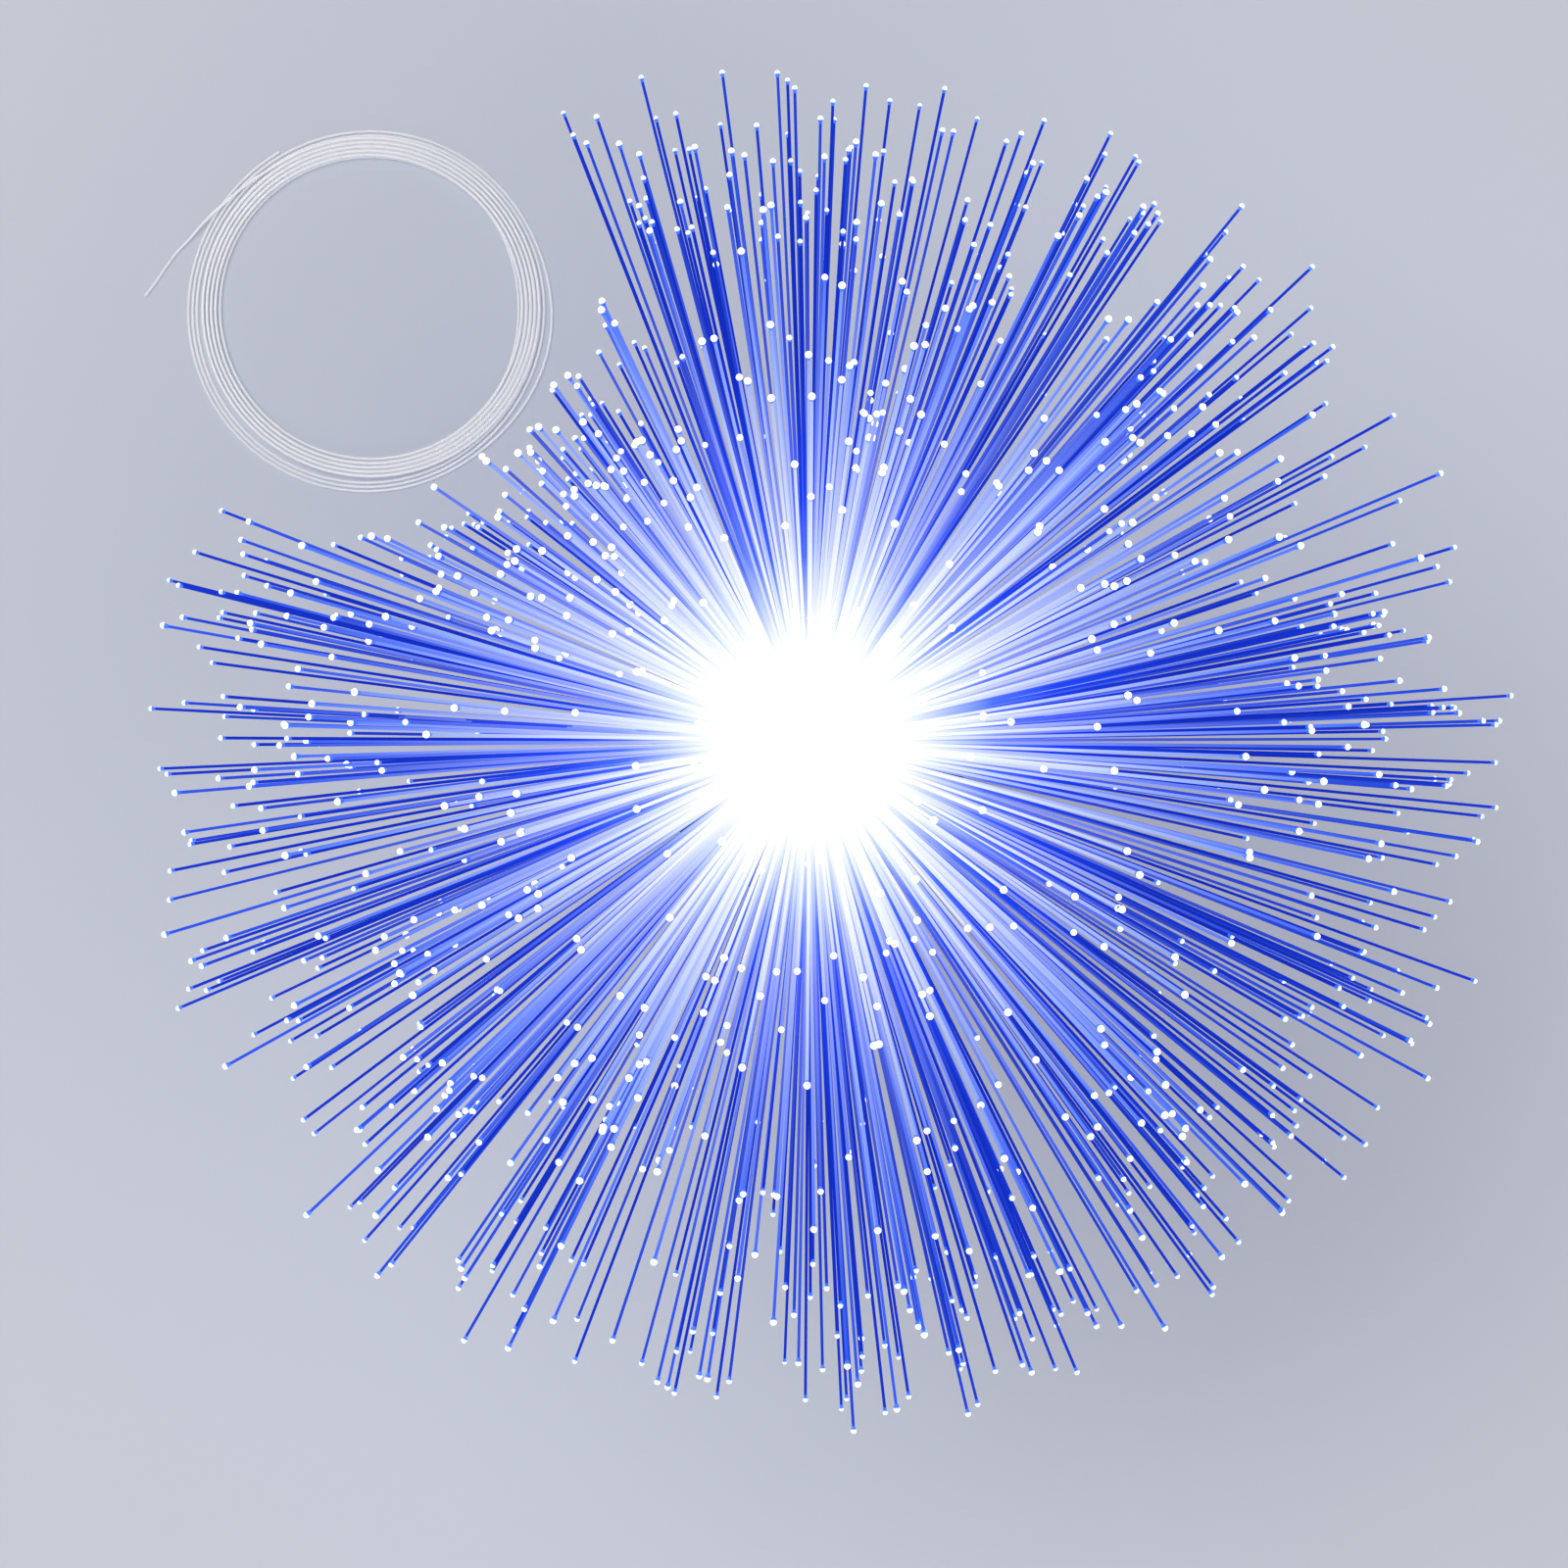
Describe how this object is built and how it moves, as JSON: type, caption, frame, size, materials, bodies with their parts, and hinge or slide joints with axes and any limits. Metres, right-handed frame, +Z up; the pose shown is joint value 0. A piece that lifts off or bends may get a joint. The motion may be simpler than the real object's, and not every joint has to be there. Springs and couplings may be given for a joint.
{
  "type": "fibre optic lamp",
  "caption": "Fibre optic lamp: a burst of light fibres in a ferrule that plugs into a bell-shaped battery base with a power button, beside a spare coil of clear fibre.",
  "frame": {"origin": "middle of the lamp on the plane that its feet stand on", "axes": "+Z up along the lamp's axis, -Y towards the power button, -X and +Y towards the spare coil"},
  "size_m": [0.3556, 0.348, 0.2822],
  "materials": {
    "base_plastic": "polished black",
    "plate_plastic": "fine grain black",
    "foot_rubber": "matt",
    "screw_steel": "zinc plated",
    "cage_plastic": "dark grey",
    "cell_metal": "plain jacket",
    "contact_metal": "nickel plated",
    "board_green": "solder mask",
    "board_white": "white mask on metal",
    "chip_black": "moulded",
    "light_lens": "lit lens",
    "reflector_chrome": "vapour plated",
    "sleeve_aluminium": "turned satin",
    "wire_red": "insulated",
    "wire_grey": "insulated",
    "button_plastic": "satin silver",
    "plunger_plastic": "moulded",
    "fibre_lit": "lit fibre",
    "fibre_clear": "clear fibre"
  },
  "bodies": {
    "base": {"base_shell": "base_plastic", "base_plate": "plate_plastic", "rubber_feet": "foot_rubber", "plate_screws": "screw_steel", "battery_cage": "cage_plastic", "cage_screws": "screw_steel", "aa_cells": "cell_metal", "top_contacts": "contact_metal", "control_board": "board_green", "board_parts": "chip_black", "board_screws": "screw_steel", "light_board": "board_white", "light_screws": "screw_steel", "light_source": "light_lens", "reflector": "reflector_chrome", "socket_sleeve": "sleeve_aluminium", "switch_board": "board_green", "switch_body": "chip_black", "light_wires": "wire_red", "switch_wires": "wire_grey"},
    "button": {"power_button": "button_plastic", "switch_plunger": "plunger_plastic"},
    "cover": {"battery_cover": "plate_plastic", "cover_contacts": "contact_metal"},
    "swivel": {"grip_ring": "foot_rubber"},
    "head": {"ferrule": "sleeve_aluminium", "fibre_spray": "fibre_lit"},
    "coil": {"fibre_coil": "fibre_clear", "coil_end": "fibre_clear"}
  },
  "joints": [
    {"name": "button_press", "type": "slide", "parent": "base", "child": "button", "axis": [0, 1, 0], "range_m": [0, 0.0015], "stiffness_N_per_m": 400},
    {"name": "cover_turn", "type": "hinge", "parent": "base", "child": "cover", "pos_m": [0, 0, 0.004], "axis": [0, 0, -1], "range_deg": [0, 25]},
    {"name": "head_turn", "type": "hinge", "parent": "base", "child": "swivel", "pos_m": [0, 0, 0.098], "axis": [0, 0, 1], "continuous": true},
    {"name": "head_lift", "type": "slide", "parent": "swivel", "child": "head", "axis": [0, 0, 1], "range_m": [0, 0.03]},
    {"name": "coil_draw", "type": "slide", "parent": "base", "child": "coil", "axis": [-0.7128, 0.7013, 0], "range_m": [0, 0.06]}
  ]
}
